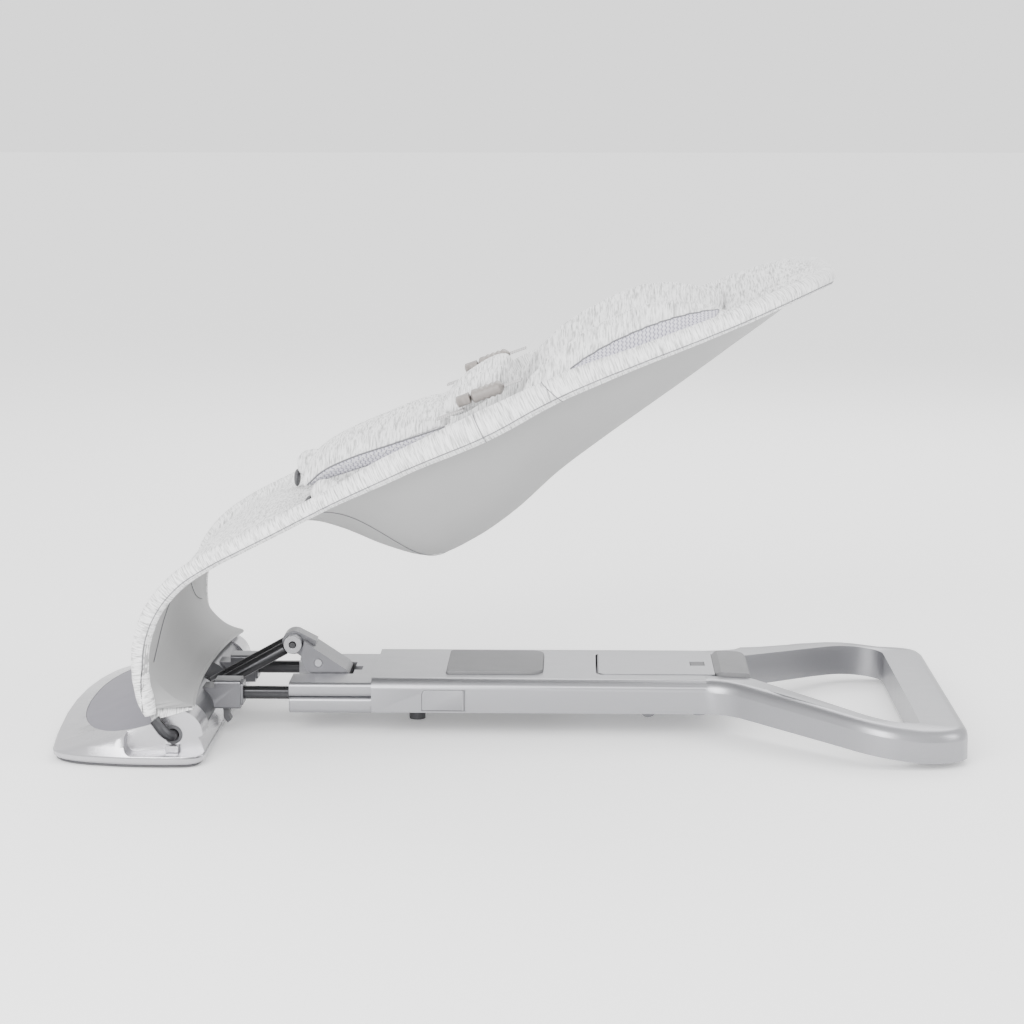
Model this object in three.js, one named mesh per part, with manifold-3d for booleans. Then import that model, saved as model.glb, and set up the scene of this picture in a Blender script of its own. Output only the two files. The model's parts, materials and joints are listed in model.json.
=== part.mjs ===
// A folding infant bouncer seat. Millimetres, +Z up, +X toward the head end, floor at Z = 0.
// A sling seat turns about a shaft in the front foot. Its crank arm drives a prop bracket, which
// slides the rear base along two rods, so the base grows longer as the seat is laid down.
import * as THREE from 'three';
import { mergeVertices } from 'three/addons/utils/BufferGeometryUtils.js';
import Module from 'manifold-3d';

const wasm = await Module();
wasm.setup();

// ---- driving dimensions ----
const CLEARANCE = 0.3;                         // between pieces that only touch
const SIDES = { left: -1, right: 1 };          // left and right of a child sitting in the seat

const HINGE = { x: -312, z: 26.5 };            // seat shaft, in the front foot
const CRANK_LENGTH = 111;                      // seat shaft to knuckle pin
const CRANK_ANGLE = THREE.MathUtils.degToRad(29);
const KNUCKLE = {
  x: HINGE.x + CRANK_LENGTH * Math.cos(CRANK_ANGLE),
  z: HINGE.z + CRANK_LENGTH * Math.sin(CRANK_ANGLE),
};
const PROP_END = { x: -165, z: 40 };           // lower pin of the prop bracket, in the carriage

const FOOT = { tip: -443, rear: -281, halfWidth: 217, bottom: 2.6, rim: 9, lip: 16.5, plateRear: -336 };
const FOOT_TOP = 46.8;                         // height of the foot's plate at its rear edge
const CHEEK = 190;                             // outer face of the foot's two hinge cheeks
const POCKET = { front: -356, rear: -250, floor: 10.5 };
const DRUM_RADIUS = 24;
const SHAFT_RADIUS = 5.5;
const BORE_RADIUS = 6.3;

const ROD = { spacing: 62, z: 39.7, radius: 6.7, start: -296, end: -30 };
const CARRIAGE = { front: -213.8, rear: -92, halfWidth: 74, bottom: 21.3, top: 52, split: 37.5 };

const BEAM = { front: -131.5, flare: 205, halfWidth: 80, bottom: 24, top: 57.4, wall: 3.4 };
const LOOP = { front: 190, rear: 445, halfWidth: 206, height: 31, floorGap: 6, settled: 400 };
const CASTING_ROUND = 11;                      // round along the casting's outer top edge
const BEAM_HOLLOW_END = 70;
const FLOOR_STRIP = { front: 404, rear: 430, halfWidth: 150 };

const BUTTON = { front: -58.5, rear: 38, halfWidth: 52, proud: 3.3, bottom: 53.6 };
const LEVER = { front: 92.5, rear: 246, halfWidth: 51.5, gripFront: 210, gripHalfWidth: 54.5 };
const LEVER_PIN = { x: 97.5, z: 53.2 };
const LOCK_TAB = { front: 187, rear: 201, halfWidth: 9.5 };
const DOOR = { front: -81.2, hinge: -40.5, bottom: 26, top: 46.5, thickness: 1.8, corner: 5 };

const ROLL_RADIUS = 11.5;                      // padded sleeve round the seat tube
const SLEEVE_BORE = 7.5;
const SLING_THICKNESS = 3;

// ---- colours ----
const finish = (colour, roughness, metalness) =>
  new THREE.MeshStandardMaterial({ color: colour, roughness, metalness });
const SILVER = finish(0xb9b9bd, 0.38, 0.9);
const DARK_METAL = finish(0x4a4a4c, 0.35, 0.8);
const GREY_RUBBER = finish(0x9c9ca2, 0.7, 0);
const DARK_PLASTIC = finish(0x4b4b4e, 0.6, 0);
const HEATHER = finish(0xdcdcdd, 0.95, 0);
const WOVEN = finish(0xc9c9cb, 0.9, 0);
const BUCKLE = finish(0xb5b0aa, 0.55, 0);

// ---- solids: three.js shapes, joined and cut ----
function toSolid(geometry) {
  const bare = geometry.clone();
  bare.deleteAttribute('normal');
  bare.deleteAttribute('uv');
  const merged = mergeVertices(bare, 1e-3);
  return new wasm.Manifold(new wasm.Mesh({
    numProp: 3,
    vertProperties: new Float32Array(merged.attributes.position.array),
    triVerts: new Uint32Array(merged.index.array),
  }));
}

function toGeometry(solid) {
  const mesh = solid.getMesh();
  const geometry = new THREE.BufferGeometry();
  geometry.setAttribute('position', new THREE.BufferAttribute(mesh.vertProperties, 3));
  geometry.setIndex(new THREE.BufferAttribute(mesh.triVerts, 1));
  geometry.computeVertexNormals();
  return geometry;
}

const join = (...solids) => solids.reduce((whole, next) => whole.add(next));
const cut = (solid, ...tools) => tools.reduce((rest, tool) => rest.subtract(tool), solid);

function boxGeometry([x0, x1], [y0, y1], [z0, z1]) {
  return new THREE.BoxGeometry(x1 - x0, y1 - y0, z1 - z0)
    .translate((x0 + x1) / 2, (y0 + y1) / 2, (z0 + z1) / 2);
}
const block = (x, y, z) => toSolid(boxGeometry(x, y, z));

// A round bar between two points.
function rodGeometry(from, to, radius, sides = 20) {
  const along = new THREE.Vector3().subVectors(to, from);
  const turn = new THREE.Quaternion().setFromUnitVectors(
    new THREE.Vector3(0, 1, 0), along.clone().normalize());
  const middle = new THREE.Vector3().addVectors(from, to).multiplyScalar(0.5);
  return new THREE.CylinderGeometry(radius, radius, along.length(), sides)
    .applyQuaternion(turn)
    .translate(middle.x, middle.y, middle.z);
}
const point = (x, y, z) => new THREE.Vector3(x, y, z);
const rod = (from, to, radius, sides) => toSolid(rodGeometry(from, to, radius, sides));
const crossRod = (at, y0, y1, radius, sides) =>
  rod(point(at.x, y0, at.z), point(at.x, y1, at.z), radius, sides);
const uprightRod = (x, y, z0, z1, radius, sides) =>
  rod(point(x, y, z0), point(x, y, z1), radius, sides);

function shapeOf(points) {
  return new THREE.Shape(points.map(([u, v]) => new THREE.Vector2(u, v)));
}

function roundedRectangle(u0, u1, v0, v1, radius) {
  const shape = new THREE.Shape();
  shape.absarc(u1 - radius, v0 + radius, radius, -Math.PI / 2, 0);
  shape.absarc(u1 - radius, v1 - radius, radius, 0, Math.PI / 2);
  shape.absarc(u0 + radius, v1 - radius, radius, Math.PI / 2, Math.PI);
  shape.absarc(u0 + radius, v0 + radius, radius, Math.PI, Math.PI * 1.5);
  shape.closePath();
  return shape;
}

// Plan outline (x, y) raised from z0 to z1.
function planGeometry(shape, z0, z1, segments = 5) {
  return new THREE.ExtrudeGeometry(shape, {
    depth: z1 - z0, bevelEnabled: false, curveSegments: segments,
  }).translate(0, 0, z0);
}
const plan = (shape, z0, z1, segments) => toSolid(planGeometry(shape, z0, z1, segments));

// Side outline (x, z) carried from y0 to y1.
function sideGeometry(shape, y0, y1, segments = 5) {
  return new THREE.ExtrudeGeometry(shape, {
    depth: y1 - y0, bevelEnabled: false, curveSegments: segments,
  }).rotateX(Math.PI / 2).translate(0, y1, 0);
}
const side = (shape, y0, y1, segments) => toSolid(sideGeometry(shape, y0, y1, segments));

// Cross section (y, z) carried from x0 to x1.
function sectionGeometry(shape, x0, x1, segments = 4) {
  const lie = new THREE.Matrix4().makeBasis(point(0, 1, 0), point(0, 0, 1), point(1, 0, 0));
  return new THREE.ExtrudeGeometry(shape, {
    depth: x1 - x0, bevelEnabled: false, curveSegments: segments,
  }).applyMatrix4(lie).translate(x0, 0, 0);
}
const section = (shape, x0, x1, segments) => toSolid(sectionGeometry(shape, x0, x1, segments));

function fromTriangles(positions, triangles) {
  const geometry = new THREE.BufferGeometry();
  geometry.setAttribute('position', new THREE.Float32BufferAttribute(positions, 3));
  geometry.setIndex(triangles);
  geometry.computeVertexNormals();
  return geometry;
}

// Closed rings stacked upward, each listed anticlockwise as seen from above.
function stackGeometry(rings) {
  const count = rings[0].length;
  const positions = rings.flat().flatMap((p) => [p.x, p.y, p.z]);
  const triangles = [];
  for (let level = 0; level < rings.length - 1; level += 1) {
    for (let i = 0; i < count; i += 1) {
      const a = level * count + i;
      const b = level * count + (i + 1) % count;
      triangles.push(a, b, a + count, b, b + count, a + count);
    }
  }
  const caps = [[rings[0], 0, true], [rings.at(-1), (rings.length - 1) * count, false]];
  for (const [ring, first, down] of caps) {
    const centre = ring.reduce((sum, p) => sum.add(p), point(0, 0, 0)).divideScalar(count);
    const middle = positions.length / 3;
    positions.push(centre.x, centre.y, centre.z);
    for (let i = 0; i < count; i += 1) {
      const next = (i + 1) % count;
      triangles.push(middle, first + (down ? next : i), first + (down ? i : next));
    }
  }
  return fromTriangles(positions, triangles);
}

// Closed skin between two grids: upper(u, v) above lower(u, v), with u along and v across.
function quiltGeometry(along, across, upper, lower) {
  const positions = [];
  const row = across + 1;
  for (const face of [upper, lower]) {
    for (let i = 0; i <= along; i += 1) {
      for (let j = 0; j <= across; j += 1) {
        const p = face(i / along, j / across);
        positions.push(p.x, p.y, p.z);
      }
    }
  }
  const under = (along + 1) * row;
  const triangles = [];
  const quad = (a, b, c, d) => triangles.push(a, b, c, a, c, d);
  for (let i = 0; i < along; i += 1) {
    for (let j = 0; j < across; j += 1) {
      const a = i * row + j;
      quad(a, a + row, a + row + 1, a + 1);
      quad(under + a, under + a + 1, under + a + row + 1, under + a + row);
    }
    const near = i * row;
    const far = near + across;
    quad(near, under + near, under + near + row, near + row);
    quad(far, far + row, under + far + row, under + far);
  }
  for (let j = 0; j < across; j += 1) {
    const last = along * row + j;
    quad(j, j + 1, under + j + 1, under + j);
    quad(last, under + last, under + last + 1, last + 1);
  }
  return fromTriangles(positions, triangles);
}

function sweepGeometry(shape, path, steps) {
  return new THREE.ExtrudeGeometry(shape, { steps, bevelEnabled: false, extrudePath: path });
}

function polygon(radius, sides) {
  const corners = [];
  for (let i = 0; i < sides; i += 1) {
    const angle = 2 * Math.PI * i / sides;
    corners.push([radius * Math.cos(angle), radius * Math.sin(angle)]);
  }
  return corners;
}

// ---- the model ----
const bouncer = new THREE.Group();

function add(name, shape, material, group = bouncer) {
  const geometry = shape.isBufferGeometry ? shape : toGeometry(shape);
  const mesh = new THREE.Mesh(geometry, material);
  mesh.name = name;
  group.add(mesh);
  return mesh;
}

// Mirrors y0..y1 (measured outward) to one side.
const outward = (sign, inner, outer) => (sign > 0 ? [inner, outer] : [-outer, -inner]);

// ---- front foot ----
// Plan of the foot: bowed front edge, round front corners, slightly bowed sides, straight rear.
function footRing(z, inset) {
  const shape = new THREE.Shape();
  const half = FOOT.halfWidth;
  shape.moveTo(FOOT.rear, 0);
  shape.lineTo(FOOT.rear, half - 21);
  shape.quadraticCurveTo(FOOT.rear, half, -300, half);
  shape.quadraticCurveTo(-340, half + 3, -378, half - 5);
  shape.quadraticCurveTo(-426, half - 13, -430, half - 40);
  shape.quadraticCurveTo(2 * FOOT.tip + 430, 0, -430, 40 - half);
  shape.quadraticCurveTo(-426, 13 - half, -378, 5 - half);
  shape.quadraticCurveTo(-340, -half - 3, -300, -half);
  shape.quadraticCurveTo(FOOT.rear, -half, FOOT.rear, 21 - half);
  shape.closePath();
  const middle = (FOOT.tip + FOOT.rear) / 2;
  const shrinkX = 1 - inset / (FOOT.rear - middle);
  const shrinkY = 1 - inset / half;
  return shape.getPoints(6).slice(0, -1)
    .map((p) => point(middle + (p.x - middle) * shrinkX, p.y * shrinkY, z));
}

// The foot's top plate rises toward the shaft and is arched from side to side.
function footTop(x, y) {
  const rise = (x - FOOT.tip) * (FOOT_TOP - FOOT.lip) / (FOOT.plateRear - FOOT.tip);
  return FOOT.lip + rise - 11.5 * (y / 190) ** 2;
}

// Slab that follows the plate, from low to high above it.
function plateSlab(low, high) {
  const at = (u, v, lift) => {
    const x = -460 + 260 * u;
    const y = -240 + 480 * v;
    return point(x, y, footTop(x, y) + lift);
  };
  return toSolid(quiltGeometry(1, 18, (u, v) => at(u, v, high), (u, v) => at(u, v, low)));
}

// Oval of the tread, cut off square behind: margin is left to the foot's outline.
function treadOutline(grow) {
  const reach = 86 + grow;
  const halfWidth = 189 + grow;
  const roundness = 2 / 2.4;
  const points = [];
  const steps = 26;
  for (let i = 0; i <= steps; i += 1) {
    const angle = Math.PI / 2 + Math.PI * i / steps;
    const along = Math.abs(Math.cos(angle)) ** roundness;
    const across = Math.sign(Math.sin(angle)) * Math.abs(Math.sin(angle)) ** roundness;
    points.push([FOOT.plateRear + 2.4 + grow - (reach + grow) * along, halfWidth * across]);
  }
  return shapeOf(points);
}

// D-shaped end of a hinge cheek, round over the shaft and square to the foot's rim.
function cheekOutline() {
  const shape = new THREE.Shape();
  const centre = { x: HINGE.x + 4.3, z: HINGE.z - 0.5 };
  shape.moveTo(centre.x + DRUM_RADIUS, FOOT.bottom + 1);
  shape.absarc(centre.x, centre.z, DRUM_RADIUS, 0, Math.PI);
  shape.lineTo(centre.x - DRUM_RADIUS, FOOT.bottom + 1);
  shape.closePath();
  return shape;
}

function footShell() {
  const body = toSolid(stackGeometry([
    footRing(FOOT.bottom, 3), footRing(5, 0.4), footRing(FOOT.rim, 0), footRing(FOOT.rim + 1, 1.4),
    footRing(18, 4), footRing(26, 8), footRing(34, 15), footRing(42, 26), footRing(52, 40),
  ]));
  const behindPlate = block([-327, -200], [-300, 300], [24, 100]);
  let foot = cut(body, plateSlab(0, 120), behindPlate);
  for (const sign of Object.values(SIDES)) {
    foot = cut(foot, side(roundedRectangle(POCKET.front, POCKET.rear, POCKET.floor, 100, 8),
      ...outward(sign, CHEEK, 260)));
    foot = join(foot, side(cheekOutline(), ...outward(sign, 150, CHEEK), 14));
  }
  const drumSpace = crossRod(HINGE, -150, 150, DRUM_RADIUS + CLEARANCE, 32)
    .intersect(block([-400, -200], [-200, 200], [6, 100]));
  const crankSpace = block([-342, -260], [-36.5, 36.5], [9, 100]);
  const treadWell = plan(treadOutline(CLEARANCE), 0, 120).intersect(plateSlab(-2, 20));
  const bore = crossRod(HINGE, -260, 260, BORE_RADIUS, 24);
  foot = cut(foot, drumSpace, crankSpace, treadWell, bore);
  for (const sign of Object.values(SIDES)) {
    foot = cut(foot, crossRod(HINGE, ...outward(sign, CHEEK - 9, 260), 9.3, 24));
    foot = cut(foot, block([-318.3, -305.7], outward(sign, CHEEK - 2.3, 260), [POCKET.floor, 17.3]));
  }
  return foot;
}

function addFrontFoot() {
  add('foot_shell', footShell(), SILVER);
  add('foot_sole', stackGeometry([footRing(0, 4.5), footRing(FOOT.bottom - CLEARANCE, 2.5)]), DARK_PLASTIC);
  add('tread_pad', plan(treadOutline(0), 0, 120).intersect(plateSlab(-1.7, -0.2)), GREY_RUBBER);
  for (const [name, sign] of Object.entries(SIDES)) {
    const drum = crossRod(HINGE, ...outward(sign, 37, 149.7), DRUM_RADIUS, 32)
      .intersect(block([-400, -200], [-200, 200], [6 + CLEARANCE, 100]));
    const arm = section(roundedRectangle(
      ...outward(sign, ROD.spacing - 14, ROD.spacing + 14), 25.7, 54, 2.5), -302, -262);
    const boss = section(roundedRectangle(
      ...outward(sign, ROD.spacing - 12, ROD.spacing + 12), 29, 51, 2), -262.5, -259.5);
    const hemSweep = block([-310, -287.5], [-200, 200], [47, 60]);
    const socket = cut(join(drum, cut(arm, hemSweep), boss),
      crossRod(HINGE, -160, 160, BORE_RADIUS, 24),
      rod(point(ROD.start - CLEARANCE, sign * ROD.spacing, ROD.z),
        point(-250, sign * ROD.spacing, ROD.z), ROD.radius + CLEARANCE, 24));
    add(`rod_socket_${name}`, socket, SILVER);
    add(`latch_hook_${name}`, side(shapeOf([
      [-280, 25.3], [-280, 16], [-276, 10], [-272, 13], [-274.5, 18], [-274.5, 25.3],
    ]), ...outward(sign, ROD.spacing - 7, ROD.spacing + 7)), DARK_PLASTIC);
    add(`hinge_bush_${name}`, cut(
      crossRod(HINGE, ...outward(sign, CHEEK - 8.7, CHEEK + 0.8), 9, 24),
      crossRod(HINGE, -260, 260, SHAFT_RADIUS + 0.35, 24)), DARK_PLASTIC);
    add(`tube_keeper_${name}`, block([-318, -306],
      outward(sign, CHEEK - 2, CHEEK + 9), [POCKET.floor + CLEARANCE, 17]), SILVER);
    add(`base_rod_${name}`, section(flutedBar(ROD.radius, sign * ROD.spacing, ROD.z),
      ROD.start, ROD.end), DARK_METAL);
  }
}

// Extruded bar section with four shallow flutes, centred at (y, z).
function flutedBar(radius, y, z) {
  const corners = [];
  const sides = 24;
  for (let i = 0; i < sides; i += 1) {
    const angle = 2 * Math.PI * (i + 0.5) / sides;
    const flute = Math.max(0, Math.cos(4 * angle) - 0.5) * 1.6;
    const reach = radius - flute;
    corners.push([y + reach * Math.cos(angle), z + reach * Math.sin(angle)]);
  }
  return shapeOf(corners);
}

// ---- carriage: two shells that carry the rods and guide the prop bracket ----
function carriageHalf(bottom, top) {
  const outer = section(roundedRectangle(
    -CARRIAGE.halfWidth, CARRIAGE.halfWidth, bottom, top, 4), CARRIAGE.front, CARRIAGE.rear);
  const bracketSpace = block([-230, -153.5], [-28.5, 28.5], [0, 100]);
  const tailSlot = block([-160, -146], [-9, 9], [0, 100]);
  const insideBeam = block([BEAM.front - CLEARANCE, 0], [-100, 100],
    [0, BEAM.bottom + BEAM.wall + CLEARANCE]);
  const rods = Object.values(SIDES).map((sign) =>
    rod(point(-230, sign * ROD.spacing, ROD.z), point(0, sign * ROD.spacing, ROD.z),
      ROD.radius + CLEARANCE, 24));
  return cut(outer, bracketSpace, tailSlot, insideBeam, ...rods);
}

// ---- rear base: beam and floor loop in one casting ----
// The casting comes down from the beam's height to the floor along the loop's arms.
function floorDrop(x) {
  const t = THREE.MathUtils.clamp((x - BEAM.flare) / (LOOP.settled - BEAM.flare), 0, 1);
  const ease = t * t * (1.6 - 0.6 * t);
  return BEAM.bottom + (LOOP.floorGap - BEAM.bottom) * ease;
}

function loopOutline() {
  const shape = new THREE.Shape();
  const half = BEAM.halfWidth;
  shape.moveTo(LOOP.front, -half);
  shape.lineTo(195, -half);
  shape.quadraticCurveTo(216, -half, 232, -94);
  shape.lineTo(325, -181);
  shape.quadraticCurveTo(352, -LOOP.halfWidth, 378, -LOOP.halfWidth);
  shape.lineTo(398, -LOOP.halfWidth);
  shape.quadraticCurveTo(LOOP.rear, -LOOP.halfWidth, LOOP.rear, -168);
  shape.lineTo(LOOP.rear, 168);
  shape.quadraticCurveTo(LOOP.rear, LOOP.halfWidth, 398, LOOP.halfWidth);
  shape.lineTo(378, LOOP.halfWidth);
  shape.quadraticCurveTo(352, LOOP.halfWidth, 325, 181);
  shape.lineTo(232, 94);
  shape.quadraticCurveTo(216, half, 195, half);
  shape.lineTo(LOOP.front, half);
  shape.closePath();
  const hole = new THREE.Path();
  hole.moveTo(236, -40);
  hole.quadraticCurveTo(238, -50, 250, -60);
  hole.lineTo(340, -157);
  hole.quadraticCurveTo(360, -178, 378, -178);
  hole.quadraticCurveTo(400, -178, 400, -156);
  hole.lineTo(400, 156);
  hole.quadraticCurveTo(400, 178, 378, 178);
  hole.quadraticCurveTo(360, 178, 340, 157);
  hole.lineTo(250, 60);
  hole.quadraticCurveTo(238, 50, 236, 40);
  hole.closePath();
  return [shape, hole];
}

// Adds points so that no stretch is longer than step.
function refine(points, step) {
  const fine = [];
  points.forEach((p, i) => {
    const next = points[(i + 1) % points.length];
    const pieces = Math.max(1, Math.ceil(p.distanceTo(next) / step));
    for (let k = 0; k < pieces; k += 1) {
      fine.push(new THREE.Vector2().lerpVectors(p, next, k / pieces));
    }
  });
  return fine;
}

// Loop and flare raised as one level solid: a wide round on the outer top edge, the hole sharp.
function levelLoop() {
  const [outer, hole] = loopOutline();
  const longest = 30;
  const round = CASTING_ROUND;
  const around = new THREE.Shape(refine(outer.getPoints(5).slice(0, -1), longest));
  const domed = new THREE.ExtrudeGeometry(around, {
    depth: LOOP.height - round + 20, bevelEnabled: true, bevelSegments: 4,
    bevelSize: round, bevelThickness: round, bevelOffset: -round,
  }).translate(0, 0, -20);
  const opening = new THREE.Shape(refine(hole.getPoints(5).slice(0, -1), longest));
  return cut(toSolid(domed), block([0, 600], [-300, 300], [-60, 0]), plan(opening, -10, 80));
}

function castingBody() {
  const geometry = toGeometry(levelLoop());
  const position = geometry.attributes.position;
  const beamStretch = (BEAM.top - BEAM.bottom) / LOOP.height;
  for (let i = 0; i < position.count; i += 1) {
    const x = position.getX(i);
    const onBeam = 1 - THREE.MathUtils.smoothstep(x, BEAM.flare, 300);
    const stretch = 1 + (beamStretch - 1) * onBeam;
    position.setZ(i, floorDrop(x) + position.getZ(i) * stretch);
  }
  const beam = section(beamOutline(), BEAM.front, BEAM.flare - 5, 4);
  return join(beam, toSolid(geometry));
}

// Cross section of the beam: a wide round on its top edges and square below.
function beamOutline() {
  const shape = new THREE.Shape();
  const half = BEAM.halfWidth;
  const middle = half - CASTING_ROUND;
  const shoulder = BEAM.top - CASTING_ROUND;
  shape.moveTo(-half, BEAM.bottom);
  shape.lineTo(half, BEAM.bottom);
  shape.absarc(middle, shoulder, CASTING_ROUND, 0, Math.PI / 2);
  shape.absarc(-middle, shoulder, CASTING_ROUND, Math.PI / 2, Math.PI);
  shape.closePath();
  return shape;
}

function rearCasting() {
  const { wall } = BEAM;
  const hollow = section(roundedRectangle(-75, 75, BEAM.bottom + wall, BEAM.top - 5.1, 0.8),
    BEAM.front - 10, BEAM_HOLLOW_END);
  const underside = block([-112, BEAM_HOLLOW_END - 6], [-66, 66], [0, BEAM.bottom + wall + 1]);
  const buttonWell = plan(buttonOutline(0.5), 48, 70);
  const leverWell = plan(roundedRectangle(LEVER.front - 1.5, 245,
    -LEVER.halfWidth - 0.7, LEVER.halfWidth + 0.7, 10), 47, 70);
  const gripWell = block([LEVER.gripFront - 4, LEVER.rear + 2],
    [-LEVER.gripHalfWidth - 1.2, LEVER.gripHalfWidth + 1.2], [44, 70]);
  const leverPinHole = crossRod(LEVER_PIN, -58, 58, 2.3, 12);
  const stripGroove = block([FLOOR_STRIP.front - CLEARANCE, FLOOR_STRIP.rear + CLEARANCE],
    [-FLOOR_STRIP.halfWidth - CLEARANCE, FLOOR_STRIP.halfWidth + CLEARANCE], [-5, 10]);
  let casting = cut(castingBody(), hollow, underside, buttonWell, leverWell, gripWell,
    leverPinHole, stripGroove);
  for (const sign of Object.values(SIDES)) {
    const recess = side(doorOutline(0.4), ...outward(sign, BEAM.halfWidth - 2.6, 100));
    casting = cut(casting, recess);
  }
  return casting;
}

// Side door's face with one round corner: x, z.
function doorOutline(grow) {
  const front = DOOR.front - grow;
  const rear = DOOR.hinge + (grow > 0 ? 2.6 : 0);
  const top = DOOR.top + grow;
  const shape = new THREE.Shape();
  shape.moveTo(front, DOOR.bottom - grow);
  shape.lineTo(rear, DOOR.bottom - grow);
  shape.lineTo(rear, top);
  shape.absarc(front + DOOR.corner, top - DOOR.corner, DOOR.corner, Math.PI / 2, Math.PI);
  shape.closePath();
  return shape;
}

// Button's plan: nearly square corners toward the foot and wide round ones toward the head.
function buttonOutline(grow) {
  const front = BUTTON.front - grow;
  const rear = BUTTON.rear + grow;
  const half = BUTTON.halfWidth + grow;
  const sharp = 4;
  const wide = 14;
  const shape = new THREE.Shape();
  shape.absarc(rear - wide, -half + wide, wide, -Math.PI / 2, 0);
  shape.absarc(rear - wide, half - wide, wide, 0, Math.PI / 2);
  shape.absarc(front + sharp, half - sharp, sharp, Math.PI / 2, Math.PI);
  shape.absarc(front + sharp, -half + sharp, sharp, Math.PI, Math.PI * 1.5);
  shape.closePath();
  return shape;
}

function addRearBase() {
  add('rear_casting', rearCasting(), SILVER);
  add('beam_floor_plate', block([-111.7, BEAM_HOLLOW_END - 6.3], [-65.7, 65.7],
    [BEAM.bottom + 0.4, BEAM.bottom + BEAM.wall - CLEARANCE]), DARK_PLASTIC);
  add('carriage_upper', carriageHalf(CARRIAGE.split + CLEARANCE, CARRIAGE.top), SILVER);
  add('carriage_lower', carriageHalf(CARRIAGE.bottom, CARRIAGE.split), SILVER);
  add('rear_floor_strip', block([FLOOR_STRIP.front, FLOOR_STRIP.rear],
    [-FLOOR_STRIP.halfWidth, FLOOR_STRIP.halfWidth], [0, 9.7]), DARK_PLASTIC);
  add('centre_stop', uprightRod(-90.5, 0, 0, BEAM.bottom + 0.1, 8.3, 20), DARK_PLASTIC);
  add('tether_eye', tetherEye(144.6), SILVER);
  add('lock_screw_boss', uprightRod(196.5, 0, 6, BEAM.bottom - CLEARANCE, 7, 16), SILVER);
  add('lever_pin', crossRod(LEVER_PIN, -57, 57, 2, 12), DARK_METAL);
  for (const [name, sign] of Object.entries(SIDES)) {
    add(`rod_end_stop_${name}`, cut(
      section(roundedRectangle(...outward(sign, ROD.spacing - 9, ROD.spacing + 9), 29, 50, 2),
        BEAM_HOLLOW_END - 8, BEAM_HOLLOW_END - CLEARANCE),
      block([0, BEAM_HOLLOW_END - 4], outward(sign, ROD.spacing - 6, ROD.spacing + 6), [33, 46])),
    DARK_PLASTIC);
  }
}

// Eye for a strap or cord, standing under the beam.
function tetherEye(x) {
  const top = BEAM.bottom - CLEARANCE;
  const ring = crossRod({ x, z: 10.5 }, -2, 2, 8, 20);
  const stem = block([x - 4.5, x + 4.5], [-2, 2], [14, top]);
  return cut(join(ring, stem), crossRod({ x, z: 10.5 }, -5, 5, 4.5, 16));
}

function addControls() {
  const top = BEAM.top + BUTTON.proud;
  const cap = plan(buttonOutline(0), BUTTON.bottom, top);
  add('recline_button', cap, GREY_RUBBER);
  add('recline_latch', block([BUTTON.front + 8, BUTTON.rear - 8], [-44, 44],
    [BUTTON.bottom - 2.8, BUTTON.bottom - CLEARANCE]), DARK_METAL);

  const lidProfile = shapeOf([
    [LEVER.front, 51.2], [LEVER.front + 7, 50], [LEVER.gripFront - CLEARANCE, 50],
    [LEVER.gripFront - CLEARANCE, 58.2], [LEVER.front + 1.5, 58.2], [LEVER.front, 56.5],
  ]);
  const lidOutline = plan(roundedRectangle(
    LEVER.front, LEVER.rear, -LEVER.halfWidth, LEVER.halfWidth, 9.5), 40, 70);
  const tabSpace = block([LOCK_TAB.front - 0.4, LOCK_TAB.rear + 0.4],
    [-LOCK_TAB.halfWidth - 0.4, LOCK_TAB.halfWidth + 0.4], [56.6, 60]);
  const lid = cut(side(lidProfile, -LEVER.halfWidth, LEVER.halfWidth).intersect(lidOutline),
    crossRod(LEVER_PIN, -60, 60, 2.3, 12), tabSpace);
  add('release_lever', lid, SILVER);
  add('lever_lock_flag', block([LOCK_TAB.front, LOCK_TAB.rear],
    [-LOCK_TAB.halfWidth, LOCK_TAB.halfWidth], [56.9, 58]), DARK_PLASTIC);
  const grip = new THREE.Shape();
  grip.moveTo(LEVER.gripFront, 50);
  grip.lineTo(LEVER.rear - 14, 50);
  grip.lineTo(LEVER.rear - 10, 45);
  grip.quadraticCurveTo(LEVER.rear, 44, LEVER.rear, 53);
  grip.quadraticCurveTo(LEVER.rear, 59.5, LEVER.rear - 8, 60);
  grip.lineTo(LEVER.gripFront + 6, 61);
  grip.lineTo(LEVER.gripFront, 58.2);
  const gripPlan = plan(roundedRectangle(LEVER.gripFront, LEVER.rear,
    -LEVER.gripHalfWidth, LEVER.gripHalfWidth, 12), 40, 70);
  add('lever_grip', side(grip, -LEVER.gripHalfWidth, LEVER.gripHalfWidth).intersect(gripPlan), GREY_RUBBER);

  for (const [name, sign] of Object.entries(SIDES)) {
    const middle = BEAM.halfWidth - DOOR.thickness / 2 - 0.2;
    const panel = side(doorOutline(0),
      ...outward(sign, middle - DOOR.thickness / 2, middle + DOOR.thickness / 2));
    const knuckle = uprightRod(DOOR.hinge, sign * middle, DOOR.bottom, DOOR.top, 1.3, 12);
    add(`side_door_${name}`, join(panel, knuckle), SILVER);
  }
}

// ---- crank and prop bracket ----
function crankPoint(distance, y) {
  return point(HINGE.x + distance * Math.cos(CRANK_ANGLE), y,
    HINGE.z + distance * Math.sin(CRANK_ANGLE));
}

const CRANK_SPACING = 18.5;

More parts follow.
